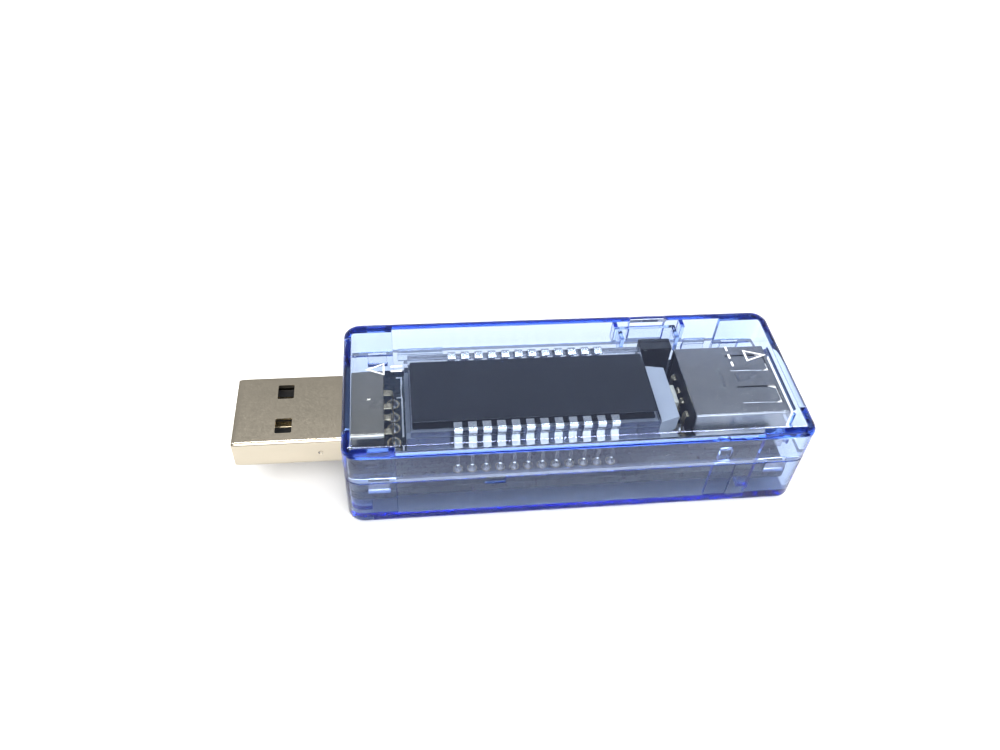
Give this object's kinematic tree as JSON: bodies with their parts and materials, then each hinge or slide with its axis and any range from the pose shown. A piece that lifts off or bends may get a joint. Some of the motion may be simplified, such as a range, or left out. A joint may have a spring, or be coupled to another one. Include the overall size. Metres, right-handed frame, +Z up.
{
  "type": "usb power meter",
  "caption": "Inline USB power meter: see-through blue case, USB-A plug and socket at its ends, pin-mounted LCD on a circuit board and a push button in the back wall.",
  "frame": {"origin": "centre of the footprint of plug and case together, on the surface that the case lies on", "axes": "+X along the case from the plug to the socket, +Y towards the wall with the push button, +Z up through the display"},
  "size_m": [0.0764, 0.0242, 0.0144],
  "materials": {
    "case_blue": "clear blue moulded plastic, polished",
    "print_white": "raised white marking",
    "black_plastic": "black moulded plastic",
    "nickel_plate": "satin nickel plated steel sheet",
    "contact_gold": "gold flashed contact",
    "tin_plate": "bright tin plate",
    "solder_mask": "dark green-black solder mask on glass-fibre board",
    "display_glass": "clear display glass",
    "polariser_film": "dark polarising film",
    "seal_resin": "dark cured resin",
    "guide_white": "milky white light guide",
    "lamp_white": "white lamp body",
    "chip_black": "black moulded package",
    "resistor_grey": "grey ceramic",
    "capacitor_tan": "tan ceramic"
  },
  "bodies": {
    "meter": {"bottom_cover": "case_blue", "top_cover": "case_blue", "input_arrow": "print_white", "output_arrow": "print_white", "switch_body": "black_plastic", "switch_terminal_left": "tin_plate", "switch_terminal_right": "tin_plate", "plug_shell": "nickel_plate", "plug_insulator": "black_plastic", "plug_contact_1": "contact_gold", "plug_contact_2": "contact_gold", "plug_contact_3": "contact_gold", "plug_contact_4": "contact_gold", "socket_shell": "nickel_plate", "socket_insulator": "black_plastic", "socket_contact_1": "contact_gold", "socket_contact_2": "contact_gold", "socket_contact_3": "contact_gold", "socket_contact_4": "contact_gold", "lcd_front_glass": "display_glass", "lcd_rear_glass": "display_glass", "lcd_front_polariser": "polariser_film", "lcd_rear_polariser": "polariser_film", "lcd_fill_seal": "seal_resin", "backlight_guide": "guide_white", "backlight_lamp": "lamp_white", "lcd_pin_front_01": "tin_plate", "lcd_pin_front_02": "tin_plate", "lcd_pin_front_03": "tin_plate", "lcd_pin_front_04": "tin_plate", "lcd_pin_front_05": "tin_plate", "lcd_pin_front_06": "tin_plate", "lcd_pin_front_07": "tin_plate", "lcd_pin_front_08": "tin_plate", "lcd_pin_front_09": "tin_plate", "lcd_pin_front_10": "tin_plate", "lcd_pin_front_11": "tin_plate", "lcd_pin_front_12": "tin_plate", "lcd_pin_back_01": "tin_plate", "lcd_pin_back_02": "tin_plate", "lcd_pin_back_03": "tin_plate", "lcd_pin_back_04": "tin_plate", "lcd_pin_back_05": "tin_plate", "lcd_pin_back_06": "tin_plate", "lcd_pin_back_07": "tin_plate", "lcd_pin_back_08": "tin_plate", "lcd_pin_back_09": "tin_plate", "lcd_pin_back_10": "tin_plate", "lcd_pin_back_11": "tin_plate", "lcd_pin_back_12": "tin_plate", "circuit_board": "solder_mask", "meter_chip": "chip_black", "voltage_regulator": "chip_black", "shunt_resistor": "resistor_grey", "filter_capacitor": "capacitor_tan"},
    "reset_button": {"reset_button": "case_blue"},
    "switch_plunger": {"switch_plunger": "black_plastic"}
  },
  "joints": [
    {"name": "reset_press", "type": "slide", "parent": "meter", "child": "reset_button", "axis": [0, -1, 0], "range_m": [0, 0.0003], "stiffness_N_per_m": 2000},
    {"name": "plunger_press", "type": "slide", "parent": "meter", "child": "switch_plunger", "axis": [0, -1, 0], "range_m": [0, 0.0003]}
  ],
  "couplings": [
    {"joint": "plunger_press", "follows": "reset_press", "ratio": 1}
  ]
}
